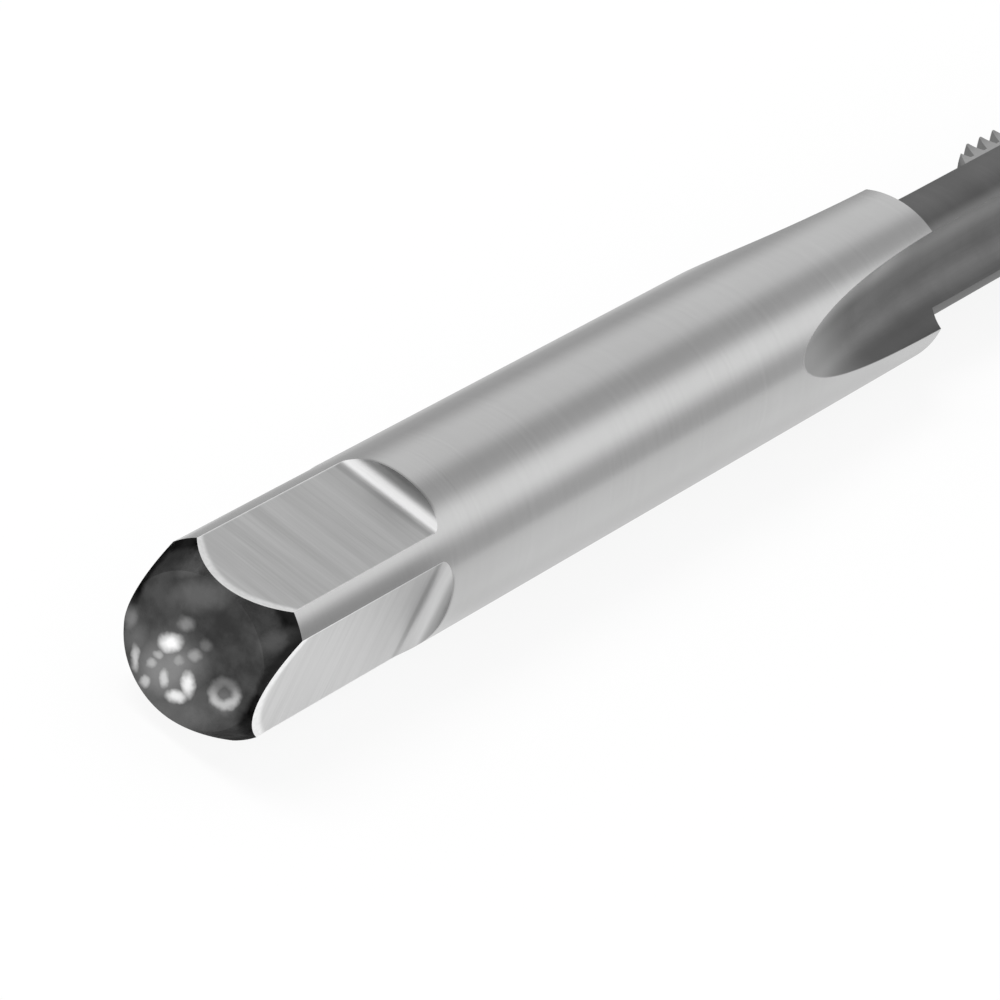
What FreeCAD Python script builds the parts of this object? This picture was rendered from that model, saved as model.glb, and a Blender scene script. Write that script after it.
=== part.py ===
import FreeCAD, Part
import math
import os
import sys
import Sketcher

# Machine tap: a square drive end, a round shank, a thinner neck and a fluted, threaded length with a tapered lead.
# The tap's axis is X, from the drive end at X = 0 to the point. Z is up, square to one flat of the drive end,
# as the tap lies on its shank. Lengths are in millimetres.

NODE = "machine_tap"

doc = FreeCAD.newDocument("tap")

# Driving dimensions
sizes = doc.addObject("Spreadsheet::Sheet", "Sizes")
DIMENSIONS = [
    ("total_length", 58.0, "drive end to the tip of the point"),
    ("shank_length", 33.0, "drive end to the edge where the shank stops"),
    ("shank_diameter", 5.0, "ground shank"),
    ("end_chamfer_length", 0.9, "cone on the drive end, along the axis"),
    ("end_chamfer_angle", 30.0, "that cone's side, measured from the axis"),
    ("end_crown_radius", 6.0, "slight bulge of that cone's side"),
    ("square_width", 4.0, "across the flats of the driving square"),
    ("square_length", 7.0, "level part of each flat, from the drive end"),
    ("run_out_radius", 0.45, "hollow curve that lifts each flat to the round shank"),
    ("neck_diameter", 3.55, "thin neck between shank and thread"),
    ("step_angle", 45.0, "cones at both ends of the neck, measured from the axis"),
    ("thread_length", 16.0, "from the end of the neck to the tip of the point"),
    ("thread_diameter", 5.0, "over the crests of the thread"),
    ("lead_length", 3.0, "tapered teeth that start the cut"),
    ("lead_end_diameter", 3.9, "front of the lead"),
    ("point_base_diameter", 2.6, "base of the centre point"),
    ("point_length", 1.3, "centre point in front of the lead"),
    ("flute_count", 3, "flutes around the axis"),
    ("flute_turn", 3.5, "turn of the flutes about the axis, from one that faces straight down"),
    ("core_diameter", 2.0, "web left between the flutes"),
    ("flute_radius", 1.45, "hollow of a flute, across the axis"),
    ("flute_start", 24.8, "drive end to the place where a flute runs out of the shank"),
    ("wheel_radius", 40.0, "grinding wheel that leaves the run-out of a flute"),
]
for row, (name, value, meaning) in enumerate(DIMENSIONS, start=1):
    sizes.set(f"A{row}", name)
    sizes.set(f"B{row}", str(value))
    sizes.set(f"C{row}", meaning)
    sizes.setAlias(f"B{row}", name)
doc.recompute()

START = {name: value for name, value, meaning in DIMENSIONS}

# Constraint shorthands: an axis or the origin of a sketch is geometry -1 or -2, and a line's ends are points 1 and 2
ORIGIN = (-1, 1)
FIRST, LAST, MIDDLE = 1, 2, 3


def vector(a, b):
    return FreeCAD.Vector(a, b, 0)


def plane(body, role):
    """The origin plane of a body with that role."""
    return next(item for item in body.Origin.OriginFeatures if item.Role == role)


def new_sketch(body, name, role):
    sketch = body.newObject("Sketcher::SketchObject", name)
    sketch.AttachmentSupport = [(plane(body, role), "")]
    sketch.MapMode = "FlatFace"
    return sketch


def add_size(sketch, kind, places, value, name, formula):
    """One named dimension of a sketch, driven by the sheet."""
    index = sketch.addConstraint(Sketcher.Constraint(kind, *places, value))
    sketch.renameConstraint(index, name)
    sketch.setExpression(f"Constraints.{name}", formula)


def pin_corner(sketch, corner, label, point, along, radius):
    """Ties a corner to a distance along the axis and to a radius, where they are given."""
    if along:
        add_size(sketch, "DistanceX", (*ORIGIN, *corner), point[0], f"{label}_along", along)
    if radius:
        add_size(sketch, "DistanceY", (*ORIGIN, *corner), point[1], f"{label}_radius", radius)


body = doc.addObject("PartDesign::Body", NODE)
body.Label = NODE

# Turned blank: half of its outline, spun about the axis
shank_r = START["shank_diameter"] / 2
neck_r = START["neck_diameter"] / 2
thread_r = START["thread_diameter"] / 2
lead_r = START["lead_end_diameter"] / 2
point_r = START["point_base_diameter"] / 2
end_r = shank_r - START["end_chamfer_length"] * math.tan(math.radians(START["end_chamfer_angle"]))
step = math.tan(math.radians(START["step_angle"]))
neck_end = START["total_length"] - START["thread_length"]
lead_front = START["total_length"] - START["point_length"]

outline = [
    ("drive_end_middle", 0.0, 0.0, "", ""),
    ("drive_end_rim", 0.0, end_r, "",
     "Sizes.shank_diameter / 2 - Sizes.end_chamfer_length * tan(Sizes.end_chamfer_angle * 1 deg)"),
    ("shank_start", START["end_chamfer_length"], shank_r,
     "Sizes.end_chamfer_length", "Sizes.shank_diameter / 2"),
    ("shank_end", START["shank_length"], shank_r,
     "Sizes.shank_length", "Sizes.shank_diameter / 2"),
    ("neck_start", START["shank_length"] + (shank_r - neck_r) / step, neck_r,
     "Sizes.shank_length + (Sizes.shank_diameter - Sizes.neck_diameter) / 2 / tan(Sizes.step_angle * 1 deg)",
     "Sizes.neck_diameter / 2"),
    ("neck_end", neck_end, neck_r,
     "Sizes.total_length - Sizes.thread_length", "Sizes.neck_diameter / 2"),
    ("thread_start", neck_end + (thread_r - neck_r) / step, thread_r,
     "Sizes.total_length - Sizes.thread_length"
     " + (Sizes.thread_diameter - Sizes.neck_diameter) / 2 / tan(Sizes.step_angle * 1 deg)",
     "Sizes.thread_diameter / 2"),
    ("lead_start", lead_front - START["lead_length"], thread_r,
     "Sizes.total_length - Sizes.point_length - Sizes.lead_length", "Sizes.thread_diameter / 2"),
    ("lead_end", lead_front, lead_r,
     "Sizes.total_length - Sizes.point_length", "Sizes.lead_end_diameter / 2"),
    ("point_base", lead_front, point_r,
     "Sizes.total_length - Sizes.point_length", "Sizes.point_base_diameter / 2"),
    ("point_tip", START["total_length"], 0.0, "Sizes.total_length", ""),
]
profile = new_sketch(body, "BlankProfile", "XZ_Plane")
names = [label for label, along, radius, x_formula, r_formula in outline]
points = [vector(along, radius) for label, along, radius, x_formula, r_formula in outline]
next_points = points[1:] + points[:1]

# Each line starts at its own corner, except that an arc runs anticlockwise: the crown ends at its corner
lines = list(range(len(outline)))
crown = names.index("drive_end_rim")
starts = [(line, LAST if line == crown else FIRST) for line in lines]
ends = [(line, FIRST if line == crown else LAST) for line in lines]
for line in lines:
    if line == crown:
        across = next_points[line] - points[line]
        inward = FreeCAD.Vector(across.y, -across.x, 0).normalize()
        drop = math.sqrt(START["end_crown_radius"] ** 2 - (across.Length / 2) ** 2)
        middle = points[line] + across / 2 + inward * drop
        rim_angle = math.atan2(points[line].y - middle.y, points[line].x - middle.x)
        shank_angle = math.atan2(next_points[line].y - middle.y, next_points[line].x - middle.x)
        circle = Part.Circle(middle, FreeCAD.Vector(0, 0, 1), START["end_crown_radius"])
        profile.addGeometry(Part.ArcOfCircle(circle, shank_angle, rim_angle), False)
    else:
        profile.addGeometry(Part.LineSegment(points[line], next_points[line]), False)
for end, start in zip(ends, starts[1:] + starts[:1]):
    profile.addConstraint(Sketcher.Constraint("Coincident", *end, *start))
profile.addConstraint(Sketcher.Constraint("Coincident", *starts[0], *ORIGIN))
profile.addConstraint(Sketcher.Constraint("Vertical", lines[0]))
profile.addConstraint(Sketcher.Constraint("Horizontal", lines[-1]))
for corner, (label, along, radius, x_formula, r_formula) in zip(starts, outline):
    pin_corner(profile, corner, label, (along, radius), x_formula, r_formula)
add_size(profile, "Radius", (crown,), START["end_crown_radius"], "crown", "Sizes.end_crown_radius")
doc.recompute()

blank = body.newObject("PartDesign::Revolution", "Blank")
blank.Profile = profile
blank.ReferenceAxis = (profile, ["H_Axis"])
blank.Angle = 360
doc.recompute()

# One flat of the driving square: a slab cut across the shank, whose inner corner is the hollow run-out.
# The slab stands clear of the shank by its own radius at the drive end, on top and at both sides.
flat_z = START["square_width"] / 2
flat_x = START["square_length"]
run_out = START["run_out_radius"]
slab_top = START["shank_diameter"]
flat = new_sketch(body, "FlatProfile", "XZ_Plane")
flat.addGeometry(Part.LineSegment(vector(-shank_r, flat_z), vector(flat_x, flat_z)), False)
centre = vector(flat_x, flat_z + run_out)
quarter = Part.ArcOfCircle(Part.Circle(centre, FreeCAD.Vector(0, 0, 1), run_out), 1.5 * math.pi, 2 * math.pi)
flat.addGeometry(quarter, False)
flat.addGeometry(Part.LineSegment(vector(flat_x + run_out, flat_z + run_out), vector(flat_x + run_out, slab_top)), False)
flat.addGeometry(Part.LineSegment(vector(flat_x + run_out, slab_top), vector(-shank_r, slab_top)), False)
flat.addGeometry(Part.LineSegment(vector(-shank_r, slab_top), vector(-shank_r, flat_z)), False)
flat.addConstraint(Sketcher.Constraint("Tangent", 0, LAST, 1, FIRST))
flat.addConstraint(Sketcher.Constraint("Tangent", 1, LAST, 2, FIRST))
flat.addConstraint(Sketcher.Constraint("Coincident", 2, LAST, 3, FIRST))
flat.addConstraint(Sketcher.Constraint("Coincident", 3, LAST, 4, FIRST))
flat.addConstraint(Sketcher.Constraint("Coincident", 4, LAST, 0, FIRST))
flat.addConstraint(Sketcher.Constraint("Horizontal", 0))
flat.addConstraint(Sketcher.Constraint("Vertical", 2))
flat.addConstraint(Sketcher.Constraint("Horizontal", 3))
flat.addConstraint(Sketcher.Constraint("Vertical", 4))
add_size(flat, "DistanceX", (*ORIGIN, 0, LAST), flat_x, "level_part", "Sizes.square_length")
add_size(flat, "DistanceY", (*ORIGIN, 0, LAST), flat_z, "half_width", "Sizes.square_width / 2")
add_size(flat, "Radius", (1,), run_out, "hollow", "Sizes.run_out_radius")
add_size(flat, "DistanceX", (0, FIRST, *ORIGIN), shank_r, "clear_end", "Sizes.shank_diameter / 2")
add_size(flat, "DistanceY", (*ORIGIN, 3, FIRST), slab_top, "clear_top", "Sizes.shank_diameter")
doc.recompute()

flat_cut = body.newObject("PartDesign::Pocket", "Flat")
flat_cut.Profile = flat
flat_cut.Midplane = True
flat_cut.Length = 2 * START["shank_diameter"]
flat_cut.setExpression("Length", "2 * Sizes.shank_diameter")
doc.recompute()

square = body.newObject("PartDesign::PolarPattern", "DrivingSquare")
square.Originals = [flat_cut]
square.Axis = (plane(body, "X_Axis"), [""])
square.Angle = 360
square.Occurrences = 4
body.Tip = square
doc.recompute()

# One flute: a round-nosed wheel runs along under the axis and lifts out through the shank.
# The path is that of the centre of the wheel's rounded edge.
core_r = START["core_diameter"] / 2
flute_r = START["flute_radius"]
wheel_r = START["wheel_radius"]
depth = shank_r - core_r
wheel_x = START["flute_start"] + math.sqrt(wheel_r ** 2 - (wheel_r - depth) ** 2)
path_r = wheel_r - flute_r
path_z = core_r + flute_r
front = START["total_length"] + START["shank_diameter"]
rise = START["shank_diameter"]
lift = math.acos(1 - rise / path_r)

path = new_sketch(body, "FlutePath", "XZ_Plane")
path_turn = FreeCAD.Rotation(FreeCAD.Vector(-1, 0, 0), START["flute_turn"])
path.AttachmentOffset = FreeCAD.Placement(vector(0, 0), path_turn)
path.setExpression("AttachmentOffset.Rotation.Angle", "Sizes.flute_turn * 1 deg")
path.addGeometry(Part.LineSegment(vector(front, -path_z), vector(wheel_x, -path_z)), False)
wheel = Part.Circle(vector(wheel_x, -path_z - path_r), FreeCAD.Vector(0, 0, 1), path_r)
path.addGeometry(Part.ArcOfCircle(wheel, 0.5 * math.pi, 0.5 * math.pi + lift), False)
path.addConstraint(Sketcher.Constraint("Tangent", 0, LAST, 1, FIRST))
path.addConstraint(Sketcher.Constraint("Horizontal", 0))
wheel_formula = (
    "Sizes.flute_start + sqrt(Sizes.wheel_radius ^ 2"
    " - (Sizes.wheel_radius - (Sizes.shank_diameter - Sizes.core_diameter) / 2) ^ 2)"
)
add_size(path, "DistanceX", (*ORIGIN, 0, LAST), wheel_x, "wheel_place", wheel_formula)
add_size(path, "DistanceY", (0, LAST, *ORIGIN), path_z, "depth", "Sizes.core_diameter / 2 + Sizes.flute_radius")
add_size(path, "DistanceX", (*ORIGIN, 0, FIRST), front, "front", "Sizes.total_length + Sizes.shank_diameter")
add_size(path, "Radius", (1,), path_r, "sweep", "Sizes.wheel_radius - Sizes.flute_radius")
add_size(path, "DistanceY", (1, LAST, 0, LAST), rise, "lift", "Sizes.shank_diameter")
doc.recompute()

nose = new_sketch(body, "FluteSection", "YZ_Plane")
nose_turn = FreeCAD.Rotation(FreeCAD.Vector(0, 0, -1), START["flute_turn"])
nose.AttachmentOffset = FreeCAD.Placement(FreeCAD.Vector(0, 0, front), nose_turn)
nose.setExpression("AttachmentOffset.Base.z", "Sizes.total_length + Sizes.shank_diameter")
nose.setExpression("AttachmentOffset.Rotation.Angle", "Sizes.flute_turn * 1 deg")
nose.addGeometry(Part.Circle(vector(0, -path_z), FreeCAD.Vector(0, 0, 1), flute_r), False)
nose.addConstraint(Sketcher.Constraint("PointOnObject", 0, MIDDLE, -2))
add_size(nose, "DistanceY", (0, MIDDLE, *ORIGIN), path_z, "depth", "Sizes.core_diameter / 2 + Sizes.flute_radius")
add_size(nose, "Radius", (0,), flute_r, "nose", "Sizes.flute_radius")
doc.recompute()

flute = body.newObject("PartDesign::SubtractivePipe", "Flute")
flute.Profile = nose
flute.Spine = (path, ["Edge1", "Edge2"])
doc.recompute()

flutes = body.newObject("PartDesign::PolarPattern", "Flutes")
flutes.Originals = [flute]
flutes.Axis = (plane(body, "X_Axis"), [""])
flutes.Angle = 360
flutes.Occurrences = START["flute_count"]
flutes.setExpression("Occurrences", "Sizes.flute_count")
body.Tip = flutes
doc.recompute()

# Every object has to be sound before anything is written
faults = [item.Name for item in doc.Objects if {"Invalid", "Error"} & set(item.State)]
if faults:
    sys.exit("these objects failed: " + ", ".join(faults))
tap = body.Shape
if tap.isNull() or not tap.isValid() or len(tap.Solids) != 1:
    sys.exit("the tap is not one sound solid")

volumes = [step_shape.Shape.Volume for step_shape in (blank, square, flutes)]
if not volumes[0] > volumes[1] > volumes[2]:
    sys.exit("a cut took nothing away")
print("volume in cubic mm: blank %.1f, with the square %.1f, with the flutes %.1f" % tuple(volumes))
print("box:", tap.BoundBox)

os.makedirs("parts", exist_ok=True)
tap.exportStep(f"parts/{NODE}.step")
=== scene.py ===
# %% [markdown]
# A machine tap is one bar of hardened steel. A grinding wheel has made its round shank, a mill its square
# end, and more wheels its thread and its three flutes. This lesson makes it in that order: a turned blank
# first, then every cut as a solid of its own that is taken away, and last the finish of each ground, milled
# or raw surface.

import math

import bpy
import bmesh
import numpy as np
from mathutils import Matrix, Vector


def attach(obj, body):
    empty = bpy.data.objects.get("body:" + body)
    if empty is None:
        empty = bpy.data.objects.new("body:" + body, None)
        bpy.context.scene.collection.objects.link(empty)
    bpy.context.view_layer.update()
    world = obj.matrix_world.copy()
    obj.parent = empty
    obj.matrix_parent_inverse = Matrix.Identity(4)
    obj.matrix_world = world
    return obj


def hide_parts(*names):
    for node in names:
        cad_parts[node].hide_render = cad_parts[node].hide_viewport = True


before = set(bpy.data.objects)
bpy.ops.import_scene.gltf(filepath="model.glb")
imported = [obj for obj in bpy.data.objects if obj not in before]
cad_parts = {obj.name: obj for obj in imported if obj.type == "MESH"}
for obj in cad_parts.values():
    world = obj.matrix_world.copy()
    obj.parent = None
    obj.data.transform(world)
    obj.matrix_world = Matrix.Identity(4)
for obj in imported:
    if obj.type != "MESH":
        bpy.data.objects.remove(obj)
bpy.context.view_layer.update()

# %% [markdown]
# The tap is drawn in millimetres, because its cuts are hundredths of a millimetre deep, and is brought to
# metres at the end. Its axis is X, from the square end at 0 to the point at 58. These are the sizes on a
# tap's drawing.

# %% Sizes of the tap in millimetres
MM = 0.001
TOTAL_LENGTH = 58.0
SHANK_LENGTH = 33.0
SHANK_RADIUS = 2.5
CHAMFER_LENGTH = 0.9
CHAMFER_ANGLE = math.radians(30)
CROWN_RADIUS = 6.0
SQUARE_HALF = 2.0
SQUARE_LENGTH = 7.0
HOLLOW_RADIUS = 0.45
NECK_RADIUS = 1.775
THREAD_LENGTH = 16.0
THREAD_RADIUS = 2.5
LEAD_LENGTH = 3.0
LEAD_END_RADIUS = 1.95
POINT_BASE_RADIUS = 1.3
POINT_LENGTH = 1.3
PITCH = 0.8
FLUTE_COUNT = 3
FLUTE_TURN = math.radians(3.5)
CORE_RADIUS = 1.0
FLUTE_RADIUS = 1.45
FLUTE_START = 24.8
WHEEL_RADIUS = 40.0

NECK_DROP = SHANK_RADIUS - NECK_RADIUS
NECK_END = TOTAL_LENGTH - THREAD_LENGTH
LEAD_FRONT = TOTAL_LENGTH - POINT_LENGTH
LEAD_BACK = LEAD_FRONT - LEAD_LENGTH
END_RADIUS = SHANK_RADIUS - CHAMFER_LENGTH * math.tan(CHAMFER_ANGLE)
print("radius of the drive end's face:", round(END_RADIUS, 3), "mm")

# %% [markdown]
# The same few jobs come back at each step: a mesh is made from points and faces, and a closed mesh has its
# faces turned outwards. Each surface of the tap has a finish of its own, so the materials are named now,
# for the faces to point to, and get their nodes later.

# %% Helpers for meshes
MERGE_DISTANCE = 1e-5


def new_mesh_object(name, points, faces, finishes=None, finish_of_face=None):
    """A mesh object with one material slot for each finish."""
    mesh = bpy.data.meshes.new(name)
    mesh.from_pydata([tuple(point) for point in points], [], faces)
    for finish in finishes or []:
        mesh.materials.append(finish)
    if finish_of_face:
        mesh.polygons.foreach_set("material_index", finish_of_face)
    mesh.update()
    piece = bpy.data.objects.new(name, mesh)
    bpy.context.scene.collection.objects.link(piece)
    return piece


def face_outwards(piece):
    """Merges doubles, then turns all faces of a closed mesh outwards."""
    work = bmesh.new()
    work.from_mesh(piece.data)
    bmesh.ops.remove_doubles(work, verts=work.verts, dist=MERGE_DISTANCE)
    bmesh.ops.recalc_face_normals(work, faces=work.faces)
    work.to_mesh(piece.data)
    work.free()


# %% Names of the finishes
FINISH_NAMES = ["raw_end", "ground_shank", "milled_flat", "dull_neck",
                "flute", "thread_crest", "thread_flank"]
finishes = {name: bpy.data.materials.new(name) for name in FINISH_NAMES}
slot_of = {name: number for number, name in enumerate(FINISH_NAMES)}
print("finishes:", len(finishes))

# %% [markdown]
# A turned piece is its outline spun about the axis. The outline could be a curve with a Screw modifier, but
# here each stretch between two corners becomes a ring of faces that knows its own finish, so that the shank
# can be bright and the raw end dark without any painting. The crown on the end is an arc, so it gets a few
# points of its own.

# %% Outline of the blank
CROWN_POINTS = 8


def crown_outline():
    """The slightly bulged cone of the drive end, from its rim to the shank: the arc and its centre."""
    start = np.array([0.0, END_RADIUS])
    end = np.array([CHAMFER_LENGTH, SHANK_RADIUS])
    along = end - start
    inward = np.array([along[1], -along[0]]) / np.hypot(*along)
    drop = math.sqrt(CROWN_RADIUS ** 2 - (np.hypot(*along) / 2) ** 2)
    centre = (start + end) / 2 + inward * drop
    first = math.atan2(*(start - centre)[::-1])
    last = math.atan2(*(end - centre)[::-1])
    arc = [(centre[0] + CROWN_RADIUS * math.cos(angle), centre[1] + CROWN_RADIUS * math.sin(angle))
           for angle in np.linspace(first, last, CROWN_POINTS)]
    return arc, centre


crown_arc, CROWN_CENTRE = crown_outline()
outline = [((0.0, 0.0), "raw_end")]
outline += [(point, "raw_end") for point in crown_arc[:-1]]
outline += [
    ((CHAMFER_LENGTH, SHANK_RADIUS), "ground_shank"),
    ((SHANK_LENGTH, SHANK_RADIUS), "dull_neck"),
    ((SHANK_LENGTH + NECK_DROP, NECK_RADIUS), "dull_neck"),
    ((NECK_END, NECK_RADIUS), "dull_neck"),
    ((NECK_END + NECK_DROP, THREAD_RADIUS), "thread_crest"),
    ((LEAD_BACK, THREAD_RADIUS), "thread_crest"),
    ((LEAD_FRONT, LEAD_END_RADIUS), "dull_neck"),
    ((LEAD_FRONT, POINT_BASE_RADIUS), "dull_neck"),
    ((TOTAL_LENGTH, 0.0), "dull_neck"),
]
print("corners of the outline:", len(outline))

# %% Spin the blank
AROUND = 192


def spin(name, outline, around):
    """Spins (along, radius) points about X. Each finish is that of the stretch that starts at its point."""
    points, rings, faces, finish_of_face = [], [], [], []
    for (along, radius), finish in outline:
        count = around if radius > 0 else 1
        rings.append(range(len(points), len(points) + count))
        for step in range(count):
            angle = 2 * math.pi * step / around
            points.append((along, radius * math.sin(angle), radius * math.cos(angle)))
    for number, (ring, following) in enumerate(zip(rings, rings[1:])):
        for step in range(around):
            after = (step + 1) % around
            if len(ring) == 1:
                faces.append((ring[0], following[after], following[step]))
            elif len(following) == 1:
                faces.append((ring[step], ring[after], following[0]))
            else:
                faces.append((ring[step], ring[after], following[after], following[step]))
            finish_of_face.append(slot_of[outline[number][1]])
    piece = new_mesh_object(name, points, faces, list(finishes.values()), finish_of_face)
    face_outwards(piece)
    return piece


blank = spin("tap_blank", outline, AROUND)
print("blank:", len(blank.data.polygons), "faces")

# %% [markdown]
# What repeats around the axis is made once and copied by Geometry Nodes: four flats, three flutes. One
# small tree does both. It sets out as many points as there are copies, puts the cutter on each, and turns
# each copy about X by its share of a full turn. Realize Instances makes real faces of the copies, and Set
# Material gives them the finish that the cut leaves on the tap.

# %% Helpers for Geometry Nodes


def new_tree(name, inputs):
    """An empty tree with a Geometry input and output, and more inputs given as (name, type, value)."""
    tree = bpy.data.node_groups.new(name, "GeometryNodeTree")
    tree.interface.new_socket("Geometry", in_out="INPUT", socket_type="NodeSocketGeometry")
    for label, kind, value in inputs:
        socket = tree.interface.new_socket(label, in_out="INPUT", socket_type=kind)
        if value is not None:
            socket.default_value = value
    tree.interface.new_socket("Geometry", in_out="OUTPUT", socket_type="NodeSocketGeometry")
    return tree, tree.nodes.new("NodeGroupInput"), tree.nodes.new("NodeGroupOutput")


def add_math(tree, operation, first, second):
    """One Math node; each operand is a socket or a number."""
    node = tree.nodes.new("ShaderNodeMath")
    node.operation = operation
    for socket, operand in zip(node.inputs, (first, second)):
        if isinstance(operand, (int, float)):
            socket.default_value = operand
        else:
            tree.links.new(operand, socket)
    return node.outputs[0]


def end_tree(tree, given, result, geometry):
    """Ends a tree: real faces, then the finish from its Finish input."""
    real = tree.nodes.new("GeometryNodeRealizeInstances")
    tree.links.new(geometry, real.inputs[0])
    dressed = tree.nodes.new("GeometryNodeSetMaterial")
    tree.links.new(real.outputs[0], dressed.inputs["Geometry"])
    tree.links.new(given.outputs["Finish"], dressed.inputs["Material"])
    tree.links.new(dressed.outputs[0], result.inputs["Geometry"])


def run_tree(piece, tree, values):
    """Runs a tree, its inputs set by their identifiers, and keeps the result as the piece's plain mesh."""
    modifier = piece.modifiers.new("nodes", "NODES")
    modifier.node_group = tree
    for item in tree.interface.items_tree:
        if item.in_out == "INPUT" and item.name in values:
            modifier[item.identifier] = values[item.name]
    evaluated = piece.evaluated_get(bpy.context.evaluated_depsgraph_get())
    mesh = bpy.data.meshes.new_from_object(evaluated)
    piece.modifiers.remove(modifier)
    piece.data = mesh
    return piece


# %% A tree that repeats a cutter around the axis


def repeat_tree():
    tree, given, result = new_tree("repeat_around_axis", [
        ("Count", "NodeSocketInt", FLUTE_COUNT),
        ("First Turn", "NodeSocketFloat", 0.0),
        ("Finish", "NodeSocketMaterial", None),
    ])
    spots = tree.nodes.new("GeometryNodePoints")
    tree.links.new(given.outputs["Count"], spots.inputs["Count"])
    number = tree.nodes.new("GeometryNodeInputIndex").outputs[0]
    share = add_math(tree, "DIVIDE", 2 * math.pi, given.outputs["Count"])
    turn = add_math(tree, "ADD", add_math(tree, "MULTIPLY", number, share), given.outputs["First Turn"])
    about_x = tree.nodes.new("ShaderNodeCombineXYZ")
    tree.links.new(turn, about_x.inputs["X"])
    copies = tree.nodes.new("GeometryNodeInstanceOnPoints")
    tree.links.new(spots.outputs[0], copies.inputs["Points"])
    tree.links.new(given.outputs["Geometry"], copies.inputs["Instance"])
    tree.links.new(about_x.outputs[0], copies.inputs["Rotation"])
    end_tree(tree, given, result, copies.outputs[0])
    return tree


repeat_around = repeat_tree()
print("tree inputs:", [item.name for item in repeat_around.interface.items_tree])

# %% [markdown]
# A cut is a Boolean: the cutter's solid is taken out of the blank. The exact solver keeps the result
# closed, which the count of open edges proves after each cut, and each new face keeps the finish that its
# cutter brought.

# %% Helpers for cutting


def open_edges(mesh):
    """How many edges don't join exactly two faces: none, on a closed solid."""
    uses = np.bincount([corner.edge_index for corner in mesh.loops], minlength=len(mesh.edges))
    return int((uses != 2).sum())


def take_away(piece, cutter):
    """Cuts one solid out of another and keeps the finish that each surface came with."""
    modifier = piece.modifiers.new("cut", "BOOLEAN")
    modifier.operation = "DIFFERENCE"
    modifier.solver = "EXACT"
    modifier.material_mode = "TRANSFER"
    modifier.object = cutter
    evaluated = piece.evaluated_get(bpy.context.evaluated_depsgraph_get())
    mesh = bpy.data.meshes.new_from_object(evaluated)
    piece.modifiers.remove(modifier)
    piece.data = mesh
    print("without the", cutter.name + ":", len(mesh.polygons), "faces, open edges:", open_edges(mesh))
    bpy.data.objects.remove(cutter)


# %% [markdown]
# A flat of the driving square is a slab cut off the shank. Its floor is level for 7 mm, then rises in the
# hollow that the edge of the milling cutter leaves. A cube could cut the level part but not the hollow, so
# the slab is a side view pushed out to both sides.

# %% The four flats of the driving square
FLAT_COUNT = 4
HOLLOW_STEPS = 10
CLEAR = 2.6
SLAB_HALF = 1.9


def slab_cutter():
    side = [(-CLEAR, SQUARE_HALF)]
    for step in range(HOLLOW_STEPS + 1):
        angle = math.pi / 2 * step / HOLLOW_STEPS
        along = SQUARE_LENGTH + HOLLOW_RADIUS * math.sin(angle)
        side.append((along, SQUARE_HALF + HOLLOW_RADIUS * (1 - math.cos(angle))))
    side += [(SQUARE_LENGTH + HOLLOW_RADIUS, SQUARE_HALF + CLEAR), (-CLEAR, SQUARE_HALF + CLEAR)]
    count = len(side)
    points = [(x, y, z) for y in (-SLAB_HALF, SLAB_HALF) for x, z in side]
    faces = [tuple(range(count)), tuple(range(count, 2 * count))]
    faces += [(n, (n + 1) % count, (n + 1) % count + count, n + count) for n in range(count)]
    cutter = new_mesh_object("flat_cutter", points, faces)
    face_outwards(cutter)
    return cutter


slabs = run_tree(slab_cutter(), repeat_around, {
    "Count": FLAT_COUNT,
    "First Turn": 0.0,
    "Finish": finishes["milled_flat"],
})
take_away(blank, slabs)

# %% [markdown]
# The thread is one groove with 60 degree sides that winds along the tap, 0.8 mm further with each turn.
# Rings side by side would look alike from afar, but they are no thread. Geometry Nodes draw a right-hand
# spiral and sweep the groove's section along it. The groove starts over the thin neck, where it cuts
# nothing yet, and runs out over the lead, so that the tapered front teeth are cut by the same groove.

# %% Section of the thread groove
GROOVE_DEPTH = 0.433
GROOVE_FLOOR_HALF = 0.1
GROOVE_OVER_CREST = 0.2
FLANK_SLOPE = math.tan(math.radians(30))


def groove_section():
    """The groove's section, seen along the thread: across is the tap's axis, up is away from it."""
    top_half = GROOVE_FLOOR_HALF + GROOVE_DEPTH * FLANK_SLOPE
    beyond = GROOVE_DEPTH + GROOVE_OVER_CREST
    corners = [(GROOVE_FLOOR_HALF, 0), (top_half, GROOVE_DEPTH), (top_half, beyond),
               (-top_half, beyond), (-top_half, GROOVE_DEPTH), (-GROOVE_FLOOR_HALF, 0)]
    mesh = bpy.data.meshes.new("groove_section")
    edges = [(n, (n + 1) % len(corners)) for n in range(len(corners))]
    mesh.from_pydata([(-out, across, 0) for across, out in corners], edges, [])
    section = bpy.data.objects.new("groove_section", mesh)
    bpy.context.scene.collection.objects.link(section)
    print("width of the groove at the crest:", round(2 * top_half, 3), "mm of", PITCH)
    return section


# %% A tree that winds the section along the tap
GROOVE_STEPS = 96


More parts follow.
